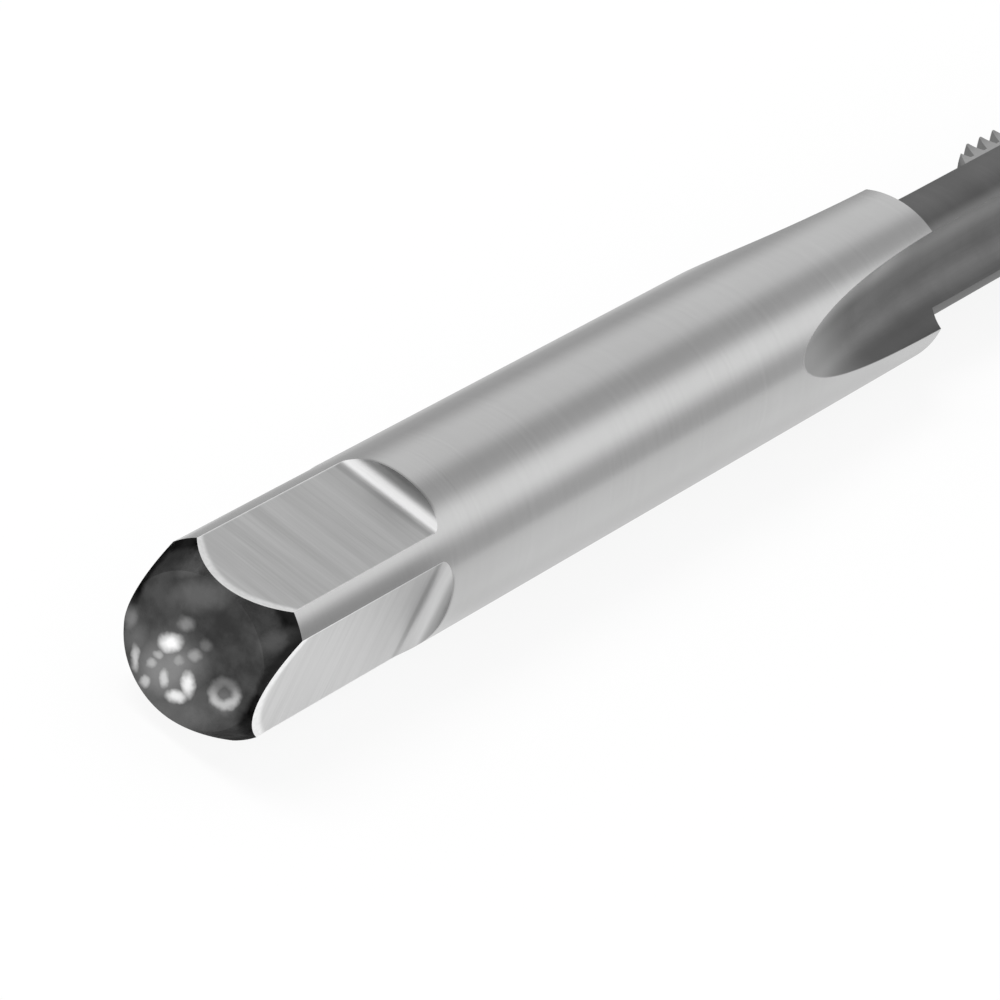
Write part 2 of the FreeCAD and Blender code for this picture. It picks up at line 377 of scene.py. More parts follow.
def groove_tree():
    tree, given, result = new_tree("thread_groove", [
        ("Pitch", "NodeSocketFloat", PITCH),
        ("Length", "NodeSocketFloat", THREAD_LENGTH),
        ("Radius", "NodeSocketFloat", THREAD_RADIUS),
        ("Steps a Turn", "NodeSocketInt", GROOVE_STEPS),
        ("Finish", "NodeSocketMaterial", None),
    ])
    turns = add_math(tree, "DIVIDE", given.outputs["Length"], given.outputs["Pitch"])
    spiral = tree.nodes.new("GeometryNodeCurveSpiral")
    tree.links.new(given.outputs["Steps a Turn"], spiral.inputs["Resolution"])
    tree.links.new(turns, spiral.inputs["Rotations"])
    tree.links.new(given.outputs["Radius"], spiral.inputs["Start Radius"])
    tree.links.new(given.outputs["Radius"], spiral.inputs["End Radius"])
    tree.links.new(given.outputs["Length"], spiral.inputs["Height"])
    spiral.inputs["Reverse"].default_value = False
    upright = tree.nodes.new("GeometryNodeSetCurveNormal")
    upright.mode = "Z_UP"
    tree.links.new(spiral.outputs[0], upright.inputs["Curve"])
    swept = tree.nodes.new("GeometryNodeCurveToMesh")
    tree.links.new(upright.outputs[0], swept.inputs["Curve"])
    section = tree.nodes.new("GeometryNodeMeshToCurve")
    tree.links.new(given.outputs["Geometry"], section.inputs["Mesh"])
    tree.links.new(section.outputs[0], swept.inputs["Profile Curve"])
    swept.inputs["Fill Caps"].default_value = True
    end_tree(tree, given, result, swept.outputs[0])
    return tree


# %% Cut the thread
GROOVE_START = NECK_END - 0.6
GROOVE_END = LEAD_FRONT + 0.9

groove = run_tree(groove_section(), groove_tree(), {
    "Pitch": PITCH,
    "Length": GROOVE_END - GROOVE_START,
    "Radius": THREAD_RADIUS - GROOVE_DEPTH,
    "Steps a Turn": GROOVE_STEPS,
    "Finish": finishes["thread_flank"],
})
along_x = Matrix.Translation((GROOVE_START, 0, 0)) @ Matrix.Rotation(math.pi / 2, 4, "Y")
groove.data.transform(along_x)
face_outwards(groove)
take_away(blank, groove)

# %% [markdown]
# A flute is what a wheel with a round edge leaves as it runs along the tap and lifts out through the shank.
# It makes the long pointed oval where the flute starts, which a straight cylinder as a cutter would not. So
# the cutter is a round bar swept along the wheel's path: straight from the point, then up on an arc as
# large as the wheel.

# %% Path of the grinding wheel
LIFT_STEPS = 60
WHEEL_OVER_SHANK = WHEEL_RADIUS - (SHANK_RADIUS - CORE_RADIUS)
WHEEL_X = FLUTE_START + math.sqrt(WHEEL_RADIUS ** 2 - WHEEL_OVER_SHANK ** 2)
WHEEL_SWEEP = WHEEL_RADIUS - FLUTE_RADIUS
FLUTE_MIDDLE = CORE_RADIUS + FLUTE_RADIUS
FLUTE_TURNS = [-FLUTE_TURN + 2 * math.pi * number / FLUTE_COUNT for number in range(FLUTE_COUNT)]


def wheel_path():
    """Where the middle of the wheel's round edge passes, as (along, height, lean)."""
    lift = math.acos(1 - 2 * CLEAR / WHEEL_SWEEP)
    stations = [(TOTAL_LENGTH + CLEAR, -FLUTE_MIDDLE, 0.0)]
    for step in range(LIFT_STEPS + 1):
        angle = lift * step / LIFT_STEPS
        along = WHEEL_X - WHEEL_SWEEP * math.sin(angle)
        stations.append((along, -FLUTE_MIDDLE - WHEEL_SWEEP * (1 - math.cos(angle)), angle))
    return stations


stations = wheel_path()
print("the wheel lifts from", round(WHEEL_X, 2), "mm and is out of the shank at", FLUTE_START, "mm")

# %% Cut the three flutes
FLUTE_AROUND = 96


def flute_cutter():
    points, faces = [], []
    for along, height, lean in stations:
        for step in range(FLUTE_AROUND):
            angle = 2 * math.pi * step / FLUTE_AROUND
            out = FLUTE_RADIUS * math.cos(angle)
            across = FLUTE_RADIUS * math.sin(angle)
            points.append((along - out * math.sin(lean), across, height + out * math.cos(lean)))
    for ring in range(len(stations) - 1):
        for step in range(FLUTE_AROUND):
            after = (step + 1) % FLUTE_AROUND
            here, there = ring * FLUTE_AROUND, (ring + 1) * FLUTE_AROUND
            faces.append((here + step, here + after, there + after, there + step))
    faces.append(tuple(range(FLUTE_AROUND)))
    faces.append(tuple(range((len(stations) - 1) * FLUTE_AROUND, len(stations) * FLUTE_AROUND)))
    cutter = new_mesh_object("flute_cutter", points, faces)
    face_outwards(cutter)
    return cutter


flutes = run_tree(flute_cutter(), repeat_around, {
    "Count": FLUTE_COUNT,
    "First Turn": -FLUTE_TURN,
    "Finish": finishes["flute"],
})
take_away(blank, flutes)

# %% [markdown]
# Bright metal shows every fault of its shading, and a solid cut by Booleans has long thin faces whose
# averaged normals wobble. But the tap's surfaces are all known: cylinders, cones, planes, an arc on the
# crown, and the sweep of a round wheel. So each corner of each face gets the normal of its true surface,
# and the facets vanish.

# %% Normals of turned and milled surfaces
ALONG = np.array([1.0, 0.0, 0.0])
ACROSS = np.array([0.0, 1.0, 1.0])
TINY = 1e-9
AT_AXIS = 1e-6
# a facet faces a direction when its normal's share of it is above this
FACING = 0.999


def unit(rows):
    return rows / np.maximum(np.linalg.norm(rows, axis=1), TINY)[:, None]


def turned_normals(places, flat):
    """Cones, cylinders and end faces: the facet's lean along the axis, straight out from the axis."""
    lean = flat[:, :1]
    out = unit(places * ACROSS) * np.sqrt(np.maximum(1 - lean ** 2, 0))
    at_axis = np.hypot(places[:, 1], places[:, 2]) < AT_AXIS
    out[at_axis] = flat[at_axis] * ACROSS
    return out + lean * ALONG


def crown_normals(places, flat):
    """The bulged cone of the drive end, and the plane end face inside it."""
    height = np.hypot(places[:, 1], places[:, 2]) - CROWN_CENTRE[1]
    curved = unit(unit(places * ACROSS) * height[:, None] + (places[:, :1] - CROWN_CENTRE[0]) * ALONG)
    return np.where(flat[:, :1] < -FACING, flat, curved)


def slab_normals(places, flat, middles):
    """Flats are planes; their run-out is a hollow round."""
    ways = np.array([[0, 0, 1], [0, 1, 0], [0, 0, -1], [0, -1, 0]], float)
    way = ways[np.argmax(middles @ ways.T, axis=1)]
    height = np.sum(places * way, axis=1, keepdims=True)
    hollow = (SQUARE_LENGTH - places[:, :1]) * ALONG
    hollow = unit(hollow + (SQUARE_HALF + HOLLOW_RADIUS - height) * way)
    level = np.abs(np.sum(flat * way, axis=1)) > FACING
    wall = np.abs(flat[:, 0]) > FACING
    return np.where((level | wall)[:, None], flat, hollow)


# %% Normals of flutes and thread
GROOVE_FLOOR_FACING = 0.95


def flute_normals(places, flat, middles):
    """From the surface to the middle of the wheel's round edge, in the place where it passed."""
    ways = np.array([[0.0, math.sin(turn), -math.cos(turn)] for turn in FLUTE_TURNS])
    way = ways[np.argmax(middles @ ways.T, axis=1)]
    wheel_height = -FLUTE_MIDDLE - WHEEL_SWEEP
    height = -np.sum(places * way, axis=1)
    on_arc = unit(np.stack([places[:, 0] - WHEEL_X, height - wheel_height], 1)) * WHEEL_SWEEP
    lifting = places[:, 0] < WHEEL_X
    along = np.where(lifting, WHEEL_X + on_arc[:, 0], places[:, 0])
    below = np.where(lifting, wheel_height + on_arc[:, 1], -FLUTE_MIDDLE)
    centre = along[:, None] * ALONG - below[:, None] * way
    return unit(centre - places)


def groove_normals(places, flat):
    """The thread's floor faces outwards; its sides lean 30 degrees and follow the spiral."""
    out = unit(places * ACROSS)
    around = np.cross(ALONG, out)
    radius = np.hypot(places[:, 1], places[:, 2])
    side = -np.sign(flat[:, 0])
    climb = side * PITCH / (2 * math.pi * np.maximum(radius, TINY))
    flank = -side[:, None] * ALONG + FLANK_SLOPE * out + climb[:, None] * around
    floor = np.sum(flat * out, axis=1) > GROOVE_FLOOR_FACING
    return np.where(floor[:, None], out, unit(flank))


# %% Give each corner its true normal


def true_normals(mesh):
    """The normal of every face corner, its turn from the facet in degrees, and the finish there."""
    points = np.array([vertex.co for vertex in mesh.vertices])
    vertex_of = np.array([corner.vertex_index for corner in mesh.loops])
    face_of = np.repeat(np.arange(len(mesh.polygons)), [face.loop_total for face in mesh.polygons])
    flat = np.array([face.normal for face in mesh.polygons])[face_of]
    middles = np.array([face.center for face in mesh.polygons])[face_of]
    slots = np.array([face.material_index for face in mesh.polygons])[face_of]
    names = np.array([slot.name for slot in mesh.materials])[slots]
    places = points[vertex_of]
    normals = turned_normals(places, flat)
    for name, rule in (("raw_end", crown_normals), ("thread_flank", groove_normals)):
        chosen = names == name
        normals[chosen] = rule(places[chosen], flat[chosen])
    for name, rule in (("milled_flat", slab_normals), ("flute", flute_normals)):
        chosen = names == name
        normals[chosen] = rule(places[chosen], flat[chosen], middles[chosen])
    turned = np.degrees(np.arccos(np.clip(np.sum(normals * flat, axis=1), -1, 1)))
    return normals, turned, names


normals, turned, finish_at = true_normals(blank.data)
for name in FINISH_NAMES:
    chosen = finish_at == name
    print(name, "corners:", int(chosen.sum()), "degrees at most:", round(float(turned[chosen].max()), 1))

# %% Bring the tap to metres
blank.data.transform(Matrix.Scale(MM, 4))
blank.data.polygons.foreach_set("use_smooth", [True] * len(blank.data.polygons))
blank.data.normals_split_custom_set([tuple(normal) for normal in normals])
blank.data.update()
tap = blank
tap.name = "tap"
print("length of the tap in metres:", round(tap.dimensions.x, 4))

# %% [markdown]
# Shader nodes are many small steps, and one line for each node, its values and its links hides what they
# do. This small class adds a node in one call and takes numbers and sockets alike. Effects that several
# finishes share are node groups. Most put out a mask between 0 and 1, and each material decides what to do
# with it.

# %% Helpers for shader nodes


class Tree:
    """A shader tree with short ways to add its nodes."""

    def __init__(self, tree):
        self.tree = tree

    def node(self, kind, **settings):
        made = self.tree.nodes.new(kind)
        for name, value in settings.items():
            setattr(made, name, value)
        return made

    def feed(self, socket, operand):
        if isinstance(operand, bpy.types.NodeSocket):
            self.tree.links.new(operand, socket)
        elif operand is not None:
            socket.default_value = operand

    def math(self, operation, *operands):
        made = self.node("ShaderNodeMath", operation=operation)
        for socket, operand in zip(made.inputs, operands):
            self.feed(socket, operand)
        return made.outputs[0]

    def vector(self, operation, *operands):
        made = self.node("ShaderNodeVectorMath", operation=operation)
        for socket, operand in zip(made.inputs, operands):
            self.feed(socket, operand)
        scalar = operation in ("LENGTH", "DISTANCE", "DOT_PRODUCT")
        return made.outputs["Value" if scalar else "Vector"]

    def scaled(self, vector, factor):
        made = self.node("ShaderNodeVectorMath", operation="SCALE")
        self.feed(made.inputs[0], vector)
        self.feed(made.inputs["Scale"], factor)
        return made.outputs["Vector"]

    def parts(self, vector):
        made = self.node("ShaderNodeSeparateXYZ")
        self.feed(made.inputs[0], vector)
        return made.outputs

    def noise(self, vector, scale, detail=2.0, roughness=0.5, output="Fac"):
        made = self.node("ShaderNodeTexNoise")
        self.feed(made.inputs["Vector"], vector)
        self.feed(made.inputs["Scale"], scale)
        self.feed(made.inputs["Detail"], detail)
        self.feed(made.inputs["Roughness"], roughness)
        return made.outputs[output]

    def remap(self, value, low, high, to_low=0.0, to_high=1.0):
        made = self.node("ShaderNodeMapRange", interpolation_type="SMOOTHSTEP")
        for label, operand in (("Value", value), ("From Min", low), ("From Max", high),
                               ("To Min", to_low), ("To Max", to_high)):
            self.feed(made.inputs[label], operand)
        return made.outputs["Result"]

    def mix(self, share, first, second):
        made = self.node("ShaderNodeMix", data_type="RGBA")
        self.feed(made.inputs[0], share)
        self.feed(made.inputs[6], first)
        self.feed(made.inputs[7], second)
        return made.outputs[2]

    def stain(self, tone, mask, strength, stain):
        """Lays a second tone over the first, where the mask is, at part strength."""
        return self.mix(self.math("MULTIPLY", mask, strength), tone, stain)

    def group(self, group, **values):
        made = self.node("ShaderNodeGroup", node_tree=group)
        for name, operand in values.items():
            self.feed(made.inputs[name.replace("_", " ")], operand)
        return made.outputs


def new_group(name, inputs, outputs):
    """An empty shader group that reads a Vector and the inputs given as {name: value}."""
    group = bpy.data.node_groups.new(name, "ShaderNodeTree")
    for label, value in {"Vector": (0, 0, 0), **inputs}.items():
        kind = "NodeSocketVector" if isinstance(value, tuple) else "NodeSocketFloat"
        socket = group.interface.new_socket(label, in_out="INPUT", socket_type=kind)
        socket.default_value = value
    for label in outputs:
        group.interface.new_socket(label, in_out="OUTPUT", socket_type="NodeSocketFloat")
    print("group", name, "puts out", outputs)
    tree = Tree(group)
    return group, tree, tree.node("NodeGroupInput").outputs, tree.node("NodeGroupOutput").inputs


# %% [markdown]
# A wheel or a mill leaves fine parallel streaks. A Wave texture would make them too even, so the streaks
# are a noise that is stretched along the cut and broken up in patches. Oil, fingers and stock marks leave
# wide soft blotches.

# %% Streaks and blotches
group_streaks, tree, given, result = new_group("wheel_streaks", {
    "Stretch": (1, 1, 1),
    "Break Up": 0.5,
}, ["Streak"])
long_lines = tree.noise(tree.vector("MULTIPLY", given["Vector"], given["Stretch"]), 1.0, 6.0, 0.65)
patches = tree.remap(tree.noise(given["Vector"], 0.8), 0.35, 0.65)
kept = tree.math("SUBTRACT", 1.0, tree.math("MULTIPLY", patches, given["Break Up"]))
centred = tree.math("SUBTRACT", long_lines, 0.5)
tree.feed(result["Streak"], tree.math("ADD", tree.math("MULTIPLY", centred, kept), 0.5))

group_blotches, tree, given, result = new_group("handling_blotches", {"Size": 1.0}, ["Blotch"])
coarse = tree.noise(given["Vector"], tree.math("DIVIDE", 1.0, given["Size"]), 5.0, 0.6)
tree.feed(result["Blotch"], tree.remap(coarse, 0.35, 0.7))

# %% [markdown]
# Edges that are touched most wear bright, and the rims also carry a painted highlight. The Bevel or
# Pointiness nodes could find them, but they depend on the renderer or the mesh. All edges of the tap lie in
# its turned skin, so the group measures how deep a place lies under that skin, at the side and at the drive
# end, and is brightest where the depth is nought.

# %% Worn rims and their painted highlight
group_rubbed_rim_highlight, tree, given, result = new_group("rubbed_rim_and_painted_highlight", {"Width": 0.06, "End Width": 0.06}, ["Rim"])
along = tree.parts(given["Vector"])["X"]
from_axis = tree.vector("LENGTH", tree.vector("MULTIPLY", given["Vector"], (0, 1, 1)))
chamfer_slope = (SHANK_RADIUS - END_RADIUS) / CHAMFER_LENGTH
lead_slope = (THREAD_RADIUS - LEAD_END_RADIUS) / LEAD_LENGTH
skin_at_end = tree.math("MULTIPLY_ADD", along, chamfer_slope, END_RADIUS)
skin_at_lead = tree.math("MULTIPLY_ADD", along, -lead_slope, THREAD_RADIUS + lead_slope * LEAD_BACK)
side_depth = tree.math("SUBTRACT", tree.math("MINIMUM", SHANK_RADIUS, skin_at_lead), from_axis)
end_depth = tree.math("SUBTRACT", skin_at_end, from_axis)
side_rim = tree.remap(side_depth, 0.0, given["Width"], 1.0, 0.0)
full_width = tree.math("MULTIPLY", given["End Width"], 0.4)
end_rim = tree.remap(end_depth, full_width, given["End Width"], 1.0, 0.0)
rim_unevenness = tree.remap(tree.noise(given["Vector"], 7.0), 0.3, 0.7, 0.75, 1.0)
tree.feed(result["Rim"], tree.math("MULTIPLY", tree.math("MAXIMUM", side_rim, end_rim), rim_unevenness))

# %% [markdown]
# One side of a flute gets painted light and the other painted shade, and the metal beside it a painted
# highlight. A material has to know where the flutes run, so this group holds the wheel's path again, as
# numbers: how near a place is to a flute, and how far to one side of its middle.

# %% Places beside the flutes
FAR_AWAY = 99.0

group_flute, tree, given, result = new_group("flute_places", {"Width": 0.1}, ["Beside", "Side"])
behind = tree.math("MAXIMUM", tree.math("SUBTRACT", WHEEL_X, tree.parts(given["Vector"])["X"]), 0.0)
lift = tree.math("MULTIPLY", tree.math("MULTIPLY", behind, behind), 0.5 / WHEEL_SWEEP)
depth = tree.math("ADD", lift, FLUTE_MIDDLE)
section = tree.vector("MULTIPLY", given["Vector"], (0, 1, 1))
half_way = tree.math("MULTIPLY", tree.vector("LENGTH", section), 0.5)
gap = FAR_AWAY
side = 0.0
for turn in FLUTE_TURNS:
    way = (0.0, math.sin(turn), -math.cos(turn))
    leading = (0.0, -math.cos(turn), -math.sin(turn))
    gap = tree.math("MINIMUM", gap, tree.vector("DISTANCE", section, tree.scaled(way, depth)))
    in_this = tree.math("GREATER_THAN", tree.vector("DOT_PRODUCT", section, way), half_way)
    off_middle = tree.vector("DOT_PRODUCT", section, leading)
    side = tree.math("ADD", side, tree.math("MULTIPLY", in_this, off_middle))
gap = tree.math("SUBTRACT", gap, FLUTE_RADIUS)
tree.feed(result["Beside"], tree.remap(gap, 0.0, given["Width"], 1.0, 0.0))
tree.feed(result["Side"], side)

# %% [markdown]
# Where the mill stops, the flat ends in a steep hollow wall that gets painted shade, and a dark line
# crosses the flat just before it. Both follow from two lengths: how far a place is past the level part, and
# how high above its floor.

# %% Steep ends of the flats
STEEP_FROM = 0.62
STEEP_TO = 0.25
CORNER_LINE = -0.13

group_run_out, tree, given, result = new_group("run_out_wall", {"Width": 0.1}, ["Wall", "Corner"])
place = tree.parts(given["Vector"])
height = tree.math("MAXIMUM", tree.math("ABSOLUTE", place["Y"]), tree.math("ABSOLUTE", place["Z"]))
past = tree.math("SUBTRACT", place["X"], SQUARE_LENGTH)
under = tree.math("SUBTRACT", height, SQUARE_HALF + HOLLOW_RADIUS)
squares = tree.math("ADD", tree.math("MULTIPLY", past, past), tree.math("MULTIPLY", under, under))
off_hollow = tree.math("SUBTRACT", tree.math("SQRT", squares), HOLLOW_RADIUS)
near = tree.remap(off_hollow, 0.0, given["Width"], 1.0, 0.0)
steep = tree.remap(under, -STEEP_FROM * HOLLOW_RADIUS, -STEEP_TO * HOLLOW_RADIUS)
# painted shade on the steep upper part of the hollow, and on the shank's edge above it
wall = tree.math("MULTIPLY", tree.math("MULTIPLY", near, steep), tree.remap(past, 0.0, 0.05))
tree.feed(result["Wall"], wall)
off_corner = tree.math("ABSOLUTE", tree.math("SUBTRACT", past, CORNER_LINE))
tree.feed(result["Corner"], tree.remap(off_corner, 0.03, 0.20, 1.0, 0.0))

# %% [markdown]
# Every finish is bare steel, so each is metallic, and its base colour is how much light it gives back. What
# tells them apart is roughness and the direction of the marks: round the shank, across the flats, along the
# flutes. The marks read Object coordinates in millimetres, so they keep their size and stay on the steel
# from every side.

# %% Helpers for steel


def steel(name):
    """The tree of one finish, its shader, and the place on the tap in millimetres."""
    material = finishes[name]
    material.use_nodes = True
    tree = Tree(material.node_tree)
    shader = material.node_tree.nodes["Principled BSDF"]
    shader.inputs["Metallic"].default_value = 1.0
    place = tree.scaled(tree.node("ShaderNodeTexCoord").outputs["Object"], 1 / MM)
    print("finish:", name)
    return tree, shader, place


def finish_with(tree, shader, colour, roughness, height, depth):
    """Feeds colour, roughness and a bump whose relief is depth in millimetres."""
    tree.feed(shader.inputs["Base Color"], colour)
    tree.feed(shader.inputs["Roughness"], roughness)
    bump = tree.node("ShaderNodeBump")
    bump.inputs["Strength"].default_value = 1.0
    bump.inputs["Distance"].default_value = depth * MM
    tree.feed(bump.inputs["Height"], height)
    tree.feed(shader.inputs["Normal"], bump.outputs["Normal"])
    print("nodes:", len(tree.tree.nodes), "relief:", depth, "mm")


def grey(level, warmth=0.0):
    return (level * (1 + warmth), level, level * (1 - warmth), 1.0)


def streaks(tree, place, stretch, break_up):
    """The marks of a wheel or a mill. A large number in the stretch sets them close along that axis."""
    return tree.group(group_streaks, Vector=place, Stretch=stretch, Break_Up=break_up)["Streak"]


def to_the_side(tree, place):
    """Above 0 beside the tap, below 0 over and under it, and 0 on the corners of the square."""
    parts = tree.parts(place)
    return tree.math("SUBTRACT", tree.math("ABSOLUTE", parts["Y"]), tree.math("ABSOLUTE", parts["Z"]))


# %% [markdown]
# The shank is ground while it spins, so its fine marks run round it. It is the brightest finish and nearly
# smooth. What is left of it between the flats, on the four corners of the square, is duller, and its edge
# over each run-out gets painted shade.

# %% Ground shank
RUN_OUT_WIDTH = 0.13

tree, shader, place = steel("ground_shank")
rings = streaks(tree, place, (9.0, 0.25, 0.25), 0.4)
blotch = tree.group(group_blotches, Vector=place, Size=6.0)["Blotch"]
wall = tree.group(group_run_out, Vector=place, Width=RUN_OUT_WIDTH)["Wall"]
sideways = to_the_side(tree, place)
corner = tree.math("MULTIPLY", tree.remap(sideways, -0.35, 0.15), tree.remap(sideways, 0.75, 0.35))
in_square = tree.remap(tree.parts(place)["X"], SQUARE_LENGTH + 1.0, SQUARE_LENGTH - 1.5)
tone = tree.mix(rings, grey(0.60), grey(0.70))
tone = tree.stain(tone, blotch, 0.18, grey(0.52, 0.01))
# painted shade along the shank's edge over each run-out
tone = tree.stain(tone, wall, 0.6, grey(0.2))
tone = tree.stain(tone, tree.math("MULTIPLY", corner, in_square), 0.4, grey(0.25))
finish_with(tree, shader, tone, tree.math("MULTIPLY_ADD", rings, 0.10, 0.15), rings, depth=0.0009)

# %% [markdown]
# A mill leaves its marks across each flat: coarse bands with finer lines between them. They are rougher
# than the grinding, so a flat shows no reflections, only an even sheen. The flats on the sides get a
# painted highlight that makes them a little lighter, and the steep walls of the run-outs get painted shade.
# The rims are worn bright and carry a painted highlight, widest at the drive end, where the tap is pushed
# into its holder.

# %% Milled flats
RIM_WIDTH = 0.03
END_RIM_WIDTH = 0.18
SIDE_RIM_EXTRA = 0.08

tree, shader, place = steel("milled_flat")
bands = streaks(tree, place, (3.2, 0.12, 0.12), 0.3)
lines = streaks(tree, place, (14.0, 0.5, 0.5), 0.6)
both = tree.math("MULTIPLY_ADD", bands, 0.65, tree.math("MULTIPLY", lines, 0.35))
on_side = tree.math("GREATER_THAN", to_the_side(tree, place), 0.0)
run_out = tree.group(group_run_out, Vector=place, Width=RUN_OUT_WIDTH)
end_width = tree.math("MULTIPLY_ADD", on_side, SIDE_RIM_EXTRA, END_RIM_WIDTH)
rim = tree.group(group_rubbed_rim_highlight, Vector=place, Width=RIM_WIDTH, End_Width=end_width)["Rim"]
level_part = tree.remap(tree.parts(place)["X"], SQUARE_LENGTH + 0.1, SQUARE_LENGTH - 0.1)
tone = tree.mix(tree.remap(both, 0.3, 0.7), grey(0.48), grey(0.62))
# painted highlight: the flats on the sides are a little lighter than those above and below
tone = tree.stain(tone, on_side, 0.08, grey(0.80))
tone = tree.stain(tone, run_out["Corner"], 0.4, grey(0.25))
# painted shade on the steep wall of the run-out
tone = tree.stain(tone, run_out["Wall"], 0.5, grey(0.2))
# bright rims: wear and a painted highlight
tone = tree.stain(tone, tree.math("MULTIPLY", rim, level_part), 0.95, grey(0.95))
finish_with(tree, shader, tone, tree.math("MULTIPLY_ADD", both, 0.16, 0.28), both, depth=0.002)

# %% [markdown]
# The neck and the flutes were cut before the steel was hardened and never polished, so they are dark and
# dull. The neck keeps its turning marks, and its land beside each flute gets a painted highlight. In a
# flute the marks run along it. Where it comes up out of the shank it gets paler, one side of it gets
# painted light and the other painted shade, and its rims are worn bright and carry a painted highlight.

# %% Dull neck
LAND_WIDTH = 0.35

tree, shader, place = steel("dull_neck")
rings = streaks(tree, place, (6.0, 0.3, 0.3), 0.5)
blotch = tree.group(group_blotches, Vector=place, Size=2.0)["Blotch"]
near_flute = tree.group(group_flute, Vector=place, Width=LAND_WIDTH)
land = tree.math("MULTIPLY", near_flute["Beside"], tree.remap(near_flute["Side"], 0.0, 0.3))
tone = tree.mix(rings, grey(0.11), grey(0.20))
tone = tree.stain(tone, blotch, 0.4, grey(0.10))
# painted highlight on the land beside the leading side of each flute
tone = tree.stain(tone, land, 0.6, grey(0.38))
finish_with(tree, shader, tone, tree.math("MULTIPLY_ADD", rings, 0.16, 0.34), rings, depth=0.002)

# %% Flutes
NO_END_RIM = 0.001

tree, shader, place = steel("flute")
lines = streaks(tree, place, (0.3, 7.0, 7.0), 0.4)
blotch = tree.group(group_blotches, Vector=place, Size=2.5)["Blotch"]
side = tree.group(group_flute, Vector=place, Width=0.1)["Side"]
along = tree.parts(place)["X"]
shallow = tree.remap(along, FLUTE_START + 4.5, FLUTE_START + 0.5)
leading = tree.remap(side, 0.25, 1.00)
trailing = tree.math("MULTIPLY", tree.remap(side, -0.5, -1.2), tree.remap(along, 36.0, 32.0))
pale_level = tree.remap(along, SHANK_LENGTH + 1.0, SHANK_LENGTH - 3.0, 0.50, 0.95)
pale = tree.node("ShaderNodeCombineXYZ")
for axis in "XYZ":
    tree.feed(pale.inputs[axis], pale_level)
rim = tree.group(group_rubbed_rim_highlight, Vector=place, Width=RIM_WIDTH, End_Width=NO_END_RIM)["Rim"]
tone = tree.mix(lines, grey(0.15), grey(0.26))
tone = tree.stain(tone, blotch, 0.4, grey(0.12))
# painted shade on the trailing side of each flute, near the shank
tone = tree.stain(tone, trailing, 0.6, grey(0.11))
tone = tree.stain(tone, shallow, 0.85, grey(0.46))
# painted light on the leading side of each flute
tone = tree.stain(tone, leading, 0.8, pale.outputs[0])
# bright rims: wear and a painted highlight
tone = tree.stain(tone, rim, 0.5, grey(0.8))
finish_with(tree, shader, tone, tree.math("MULTIPLY_ADD", lines, 0.14, 0.32), lines, depth=0.002)

# %% [markdown]
# The thread is ground last, by a wheel that follows the spiral. Its crests are what is left of the ground
# blank, and brighter than its sides. Both have fine marks round the tap and edges that are worn bright and
# carry a painted highlight, so one loop makes the two.

# %% Ground thread
for name, low, high in (("thread_crest", 0.38, 0.52), ("thread_flank", 0.20, 0.32)):
    tree, shader, place = steel(name)
    rings = streaks(tree, place, (12.0, 0.5, 0.5), 0.4)
    rim = tree.group(group_rubbed_rim_highlight, Vector=place, Width=RIM_WIDTH, End_Width=NO_END_RIM)["Rim"]
    # bright edges: wear and a painted highlight
    tone = tree.stain(tree.mix(rings, grey(low), grey(high)), rim, 0.5, grey(0.75))
    finish_with(tree, shader, tone, tree.math("MULTIPLY_ADD", rings, 0.12, 0.24), rings, depth=0.0008)

# %% [markdown]
# The drive end is the only face that nobody grinds. It keeps the dark skin of the furnace, with bright
# places where the skin is knocked off: a deep spot, a ring, a scrape and some nicks near the lower rim. A
# painted image would be quicker, but it shows its pixels up close. So each mark but the ring is a soft oval
# from a short table, where it is easily moved.

# %% Marks on the raw end
KNOCKS = [
    # place on the end face as Y and Z, then half width and half height in the leaning axes, and brightness
    (0.61, -0.22, 0.38, 0.30, 1.00),
    (0.76, -0.70, 0.22, 0.18, 0.42),
    (0.45, 0.47, 0.26, 0.22, 0.20),
    (1.27, -1.17, 0.15, 0.42, 0.52),
    (0.84, -1.02, 0.20, 0.17, 0.42),
    (0.79, -1.54, 0.19, 0.22, 0.50),
    (0.39, -1.13, 0.16, 0.34, 0.60),
    (-0.08, -1.33, 0.34, 0.22, 0.85),
    (-0.23, -0.86, 0.22, 0.40, 0.90),
    (0.24, -0.48, 0.24, 0.22, 0.32),
    (-0.06, -0.09, 0.24, 0.24, 0.30),
    (-0.20, 0.35, 0.22, 0.20, 0.12),
    (1.82, -0.34, 0.22, 0.40, 0.16),
    # from here on wide and faint, where the skin is only rubbed
    (0.45, -0.85, 1.10, 1.05, 0.19),
    (-0.30, -1.70, 1.30, 0.60, 0.09),
    (1.40, -0.75, 0.50, 0.50, 0.10),
    (-0.60, -1.05, 0.60, 0.60, 0.07),
    (1.00, -2.00, 0.60, 0.50, 0.12),
    (0.45, 1.40, 0.85, 0.50, 0.09),
    (1.00, 1.75, 0.40, 0.30, 0.06),
    (-1.62, 1.45, 0.30, 0.30, 0.05),
    (-1.20, -0.60, 0.50, 0.50, 0.12),
]
RING = (-1.16, -0.42)
RING_RADIUS = 0.35
RING_HALF_WIDTH = 0.27
LEANING_AXES = ((0.0, 1.0, -0.49), (0.0, 0.755, 1.0))
print("marks on the end face:", len(KNOCKS) + 1)

# %% Brightness of the marks


def leaning(tree, vector):
    """The end face in the axes of the marks, which lean a little against Y and Z."""
    both = tree.node("ShaderNodeCombineXYZ")
    tree.feed(both.inputs["Y"], tree.vector("DOT_PRODUCT", vector, LEANING_AXES[0]))
    tree.feed(both.inputs["Z"], tree.vector("DOT_PRODUCT", vector, LEANING_AXES[1]))
    return both.outputs[0]


